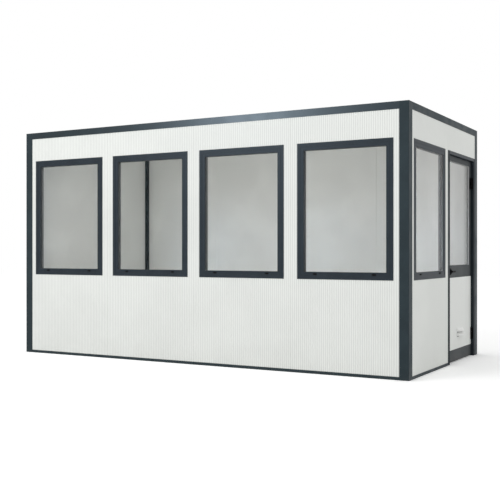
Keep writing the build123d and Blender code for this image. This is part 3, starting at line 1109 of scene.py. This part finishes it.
@dataclass
class Covers(SubAssembly):
    """Rounded, stepped covers on a wall."""

    length: float
    height: float
    corner: float
    projection: float

    def covers(self, material: Material, place: Matrix, points: list[Vector]) -> Mesh:
        """Covers on some points.

        Args:
            material: What they are made of.
            place: Matrix from the points' axes to the booth's.
            points: Where they sit.

        Returns:
            The covers in place.
        """
        values = {
            "Length": self.length, "Height": self.height, "Corner": self.corner,
            "Projection": self.projection, "Material": material,
        }
        return self.shop.shapes.make(self.shop.shapes.covers, values, place, points)


@dataclass
class DrainHoods(Covers):
    """Black covers over the drain slots in the window sills."""

    length: float = 0.04
    height: float = 0.015
    corner: float = 0.005
    projection: float = 0.0095
    inset: float = 0.193
    seat: float = 0.0015

    def build(self) -> None:
        """Makes the covers of all the windows as one piece."""
        plan = self.plan
        black = self.shop.finishes.by_slot[Slot.DRAIN_CAP]
        level = plan.window_bottom + (plan.window_land + plan.window_face) / 2.0
        reach = plan.window_half - self.inset
        meshes = []
        for wall in (Wall.FRONT, Wall.RIGHT):
            places = [centre + side * reach for centre in plan.window_centres(wall) for side in (-1.0, 1.0)]
            points = [Vector((x, self.seat, level)) for x in places]
            meshes.append(self.covers(black, plan.matrix(wall), points))
        name = "window_drain_hoods"
        self.shop.add(name, meshes, Body.BOOTH, Slot.DRAIN_CAP, stands_for=["window_drain_caps"])


@dataclass
class HandleRoses(Covers):
    """Rounded collars round the spindle, on both faces of the door."""

    length: float = 0.046
    height: float = 0.052
    corner: float = 0.02
    projection: float = 0.013
    centre: float = 1.424
    level: float = 0.9805
    faces: Pair = (0.027, 0.09)

    def build(self) -> None:
        """Makes both collars as one piece."""
        black = self.shop.finishes.by_slot[Slot.HANDLE]
        wall = self.plan.matrix(Wall.RIGHT)
        meshes = []
        for depth, turn in zip(self.faces, (0.0, math.pi)):
            spot = Matrix.Translation((self.centre, depth, self.level)) @ Matrix.Rotation(turn, 4, "Z")
            meshes.append(self.covers(black, wall @ spot, [Vector()]))
        self.shop.add("door_handle_roses", meshes, Body.DOOR, Slot.HANDLE)


@dataclass
class VentShadowStrips(Covers):
    """Dark gauze strips in the two openings under the hoods of the door's vent, there mostly as painted
    shadow beneath the hoods.
    """

    length: float = 0.19
    height: float = 0.009
    corner: float = 0.003
    projection: float = 0.001
    levels: Pair = (0.2675, 0.3135)
    seat: float = 0.0302

    def build(self) -> None:
        """Makes the dark gauze strips of both openings, which paint the shadow under the hoods."""
        rubber = self.shop.finishes.rubber
        points = [Vector((self.plan.door_centre, self.seat, level)) for level in self.levels]
        mesh = self.covers(rubber, self.plan.matrix(Wall.RIGHT), points)
        self.shop.add("door_vent_shadow_strips", [mesh], Body.DOOR, Slot.VENT, rubber)


@dataclass
class DoorSeals(SubAssembly):
    """Rubber strips on the stops that the closed door leaf rests against."""

    left: float = 1.304
    right: float = 2.245
    top: float = 2.23
    foot: float = 0.003
    inset: float = 0.015
    stop_face: float = 0.086
    thickness: float = 0.0032
    width: float = 0.009
    bevel: float = 0.0012

    def build(self) -> None:
        """Makes the two upright strips and the one under the head."""
        front, back = self.stop_face - self.thickness, self.stop_face
        inner_left, inner_right = self.left + self.inset, self.right - self.inset
        under = self.top - self.inset
        over = under + self.width
        corners = (
            ((inner_left - self.width, front, self.foot), (inner_left, back, over)),
            ((inner_right, front, self.foot), (inner_right + self.width, back, over)),
            ((inner_left, front, under), (inner_right, back, over)),
        )
        place = self.plan.matrix(Wall.RIGHT)
        strips = [self.shop.bar(low, high, self.bevel, place) for low, high in corners]
        self.shop.add("door_stop_seals", strips, Body.BOOTH, Slot.DRAIN_CAP, self.shop.finishes.rubber)


@dataclass(frozen=True)
class ScrewHead:
    """Sizes of a screw head and its washer."""

    radius: float
    height: float
    washer: float
    washer_height: float

    def make(self, shapes: NodeShapes, material: Material, outward: Vector, points: list[Vector]) -> Mesh:
        """Heads on some points.

        Args:
            shapes: The Geometry Nodes trees.
            material: What they are made of.
            outward: Where they point to.
            points: Where they sit.

        Returns:
            The heads in place.
        """
        values = {
            "Direction": tuple(outward), "Radius": self.radius, "Height": self.height,
            "Washer": self.washer, "Washer Height": self.washer_height, "Material": material,
        }
        return shapes.make(shapes.screws, values, points=points)


@dataclass
class Fasteners(SubAssembly):
    """Screws of the hinges and the roof panels."""

    hinge_heights: tuple[float, ...] = (0.258, 1.975)
    hinge_rows: Pair = (2.195, 2.207)
    hinge_steps: tuple[float, ...] = (-0.048, -0.016, 0.016, 0.048)
    hinge_head: ScrewHead = ScrewHead(radius=0.004, height=0.0016, washer=0.0046, washer_height=0.0004)
    roof_crest: float = 2.596
    roof_start: float = -2.3
    roof_pitch: float = 0.2875
    roof_count: int = 16
    roof_rows: tuple[float, ...] = (-1.05, -0.35, 0.35, 1.05)
    roof_head: ScrewHead = ScrewHead(radius=0.0055, height=0.002, washer=0.0105, washer_height=0.0012)

    def build(self) -> None:
        """Makes the screws."""
        shapes, finishes = self.shop.shapes, self.shop.finishes
        wall = self.plan.matrix(Wall.RIGHT)
        points = [
            wall @ Vector((self.hinge_rows[index % 2], self.plan.leaf_face, height + step))
            for height in self.hinge_heights
            for index, step in enumerate(self.hinge_steps)
        ]
        outward = wall.to_3x3() @ Vector((0.0, -1.0, 0.0))
        heads = self.hinge_head.make(shapes, finishes.by_slot[Slot.HINGE], outward, points)
        self.shop.add("hinge_screws", [heads], Body.DOOR, Slot.HINGE)
        crests = [self.roof_start + (index + 0.5) * self.roof_pitch for index in range(self.roof_count)]
        points = [Vector((x, y, self.roof_crest)) for x in crests for y in self.roof_rows]
        heads = self.roof_head.make(shapes, finishes.screw_steel, Vector((0.0, 0.0, 1.0)), points)
        self.shop.add("roof_screws", [heads], Body.BOOTH, Slot.ROOF_PANEL, finishes.screw_steel)


@dataclass(frozen=True)
class Lamp:
    """A soft rectangular lamp."""

    name: str
    place: Triple
    target: Triple
    power: float
    size: Pair
    colour: Triple = (1.0, 1.0, 1.0)
    hidden_from: tuple[Rays, ...] = ()

    def build(self) -> None:
        """Stands the lamp in the scene."""
        data = bpy.data.lights.new(self.name, "AREA")
        data.shape = "RECTANGLE"
        data.size, data.size_y = self.size
        data.energy = self.power
        data.color = self.colour
        lamp = bpy.data.objects.new(self.name, data)
        lamp.location = self.place
        aim = Vector(self.target) - Vector(self.place)
        lamp.rotation_euler = aim.to_track_quat("-Z", "Y").to_euler()
        for rays in self.hidden_from:
            setattr(lamp, rays.value, False)
        bpy.context.scene.collection.objects.link(lamp)


@dataclass
class Studio:
    """White floor, soft lamps, pale surroundings and the camera."""

    camera_place: Triple = (5.0327, -8.8977, 1.2077)
    camera_turn: float = 29.43
    sensor: float = 36.0
    lens: float = 62.37
    lens_shift: float = 0.001
    ambient: float = 0.84
    floor_size: float = 60.0
    floor_level: float = -0.0005
    floor_shade: float = 0.7
    floor_shown: float = 1.2
    key_lamp: Lamp = Lamp("key_lamp", (-3.0, -8.0, 8.0), (-0.5, -1.0, 1.8), power=276.0, size=(5.0, 4.0))
    sheen_card: Lamp = Lamp(
        "sheen_card", (-3.07, -8.1, 3.7), (0.83, -1.2, 2.5), power=282.0, size=(1.2, 1.0),
        colour=(0.69, 0.85, 1.0), hidden_from=(Rays.CAMERA, Rays.DIFFUSE, Rays.TRANSMISSION),
    )
    room_fill: Lamp = Lamp(
        "room_fill", (0.02, -1.12, 1.4), (0.02, 1.0, 1.4), power=15.4, size=(3.75, 1.5),
        colour=(1.0, 0.972, 0.925), hidden_from=(Rays.CAMERA, Rays.GLOSSY, Rays.TRANSMISSION),
    )

    @staticmethod
    def seen_rays(net: NodeNet) -> Socket:
        """1 for rays that show the surroundings: to the camera, in a reflection or through glass.

        Args:
            net: The tree that needs it.

        Returns:
            The share.
        """
        path = net.add("ShaderNodeLightPath").outputs
        shown = net.math("MAXIMUM", path["Is Camera Ray"], path["Is Glossy Ray"])
        return net.math("MAXIMUM", shown, path["Is Transmission Ray"])

    def build_world(self) -> None:
        """White surroundings that light the booth softly."""
        world = bpy.data.worlds.new("studio")
        world.use_nodes = True
        bpy.context.scene.world = world
        net = NodeNet(world.node_tree)
        white = (1.0, 1.0, 1.0, 1.0)
        light = world.node_tree.nodes["Background"]
        net.feed(light, {"Color": white, "Strength": self.ambient})
        shown = net.put("ShaderNodeBackground", {"Color": white, "Strength": 1.0})
        net.show("World Output", self.seen_rays(net), light.outputs["Background"], shown)

    def build_floor(self) -> None:
        """A white floor that keeps the booth's shadow."""
        half = self.floor_size / 2.0
        sides = ((-half, -half), (half, -half), (half, half), (-half, half))
        mesh = bpy.data.meshes.new("floor")
        mesh.from_pydata([(x, y, self.floor_level) for x, y in sides], [], [(0, 1, 2, 3)])
        material, net, unused = new_material("floor_white")
        net.tree.nodes.remove(unused)
        shades = [(*[shade] * 3, 1.0) for shade in (self.floor_shade, self.floor_shown)]
        light, shown = [net.put("ShaderNodeBsdfDiffuse", {"Color": shade}) for shade in shades]
        net.show("Material Output", self.seen_rays(net), light, shown)
        mesh.materials.append(material)
        floor = bpy.data.objects.new("floor", mesh)
        bpy.context.scene.collection.objects.link(floor)

    def build_camera(self) -> None:
        """The camera at the photograph's place."""
        data = bpy.data.cameras.new("camera")
        data.sensor_width = self.sensor
        data.sensor_fit = "HORIZONTAL"
        data.lens = self.lens
        data.shift_y = self.lens_shift
        camera = bpy.data.objects.new("camera", data)
        camera.location = self.camera_place
        camera.rotation_euler = (math.radians(90.0), 0.0, math.radians(self.camera_turn))
        bpy.context.scene.collection.objects.link(camera)
        bpy.context.scene.camera = camera

    def build(self) -> None:
        """Sets up the whole studio."""
        bpy.context.scene.view_settings.view_transform = "Standard"
        self.build_world()
        self.build_floor()
        for lamp in (self.key_lamp, self.sheen_card, self.room_fill):
            lamp.build()
        self.build_camera()
        LOG.info("studio ready")


def main() -> None:
    """Builds the booth's pieces in order."""
    logging.basicConfig(level=logging.INFO, format="%(name)s: %(message)s")
    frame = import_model()
    shop = Workshop(BoothPlan(), Finishes(), NodeShapes())
    shop.finishes.dress_frame(frame)
    for assembly in (PanelRibs, Glazing, DrainHoods, HandleRoses, VentShadowStrips, DoorSeals, Fasteners):
        assembly(shop).build()
    Studio().build()
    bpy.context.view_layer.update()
    LOG.info("%d pieces", shop.count)


if __name__ == "__main__":
    main()
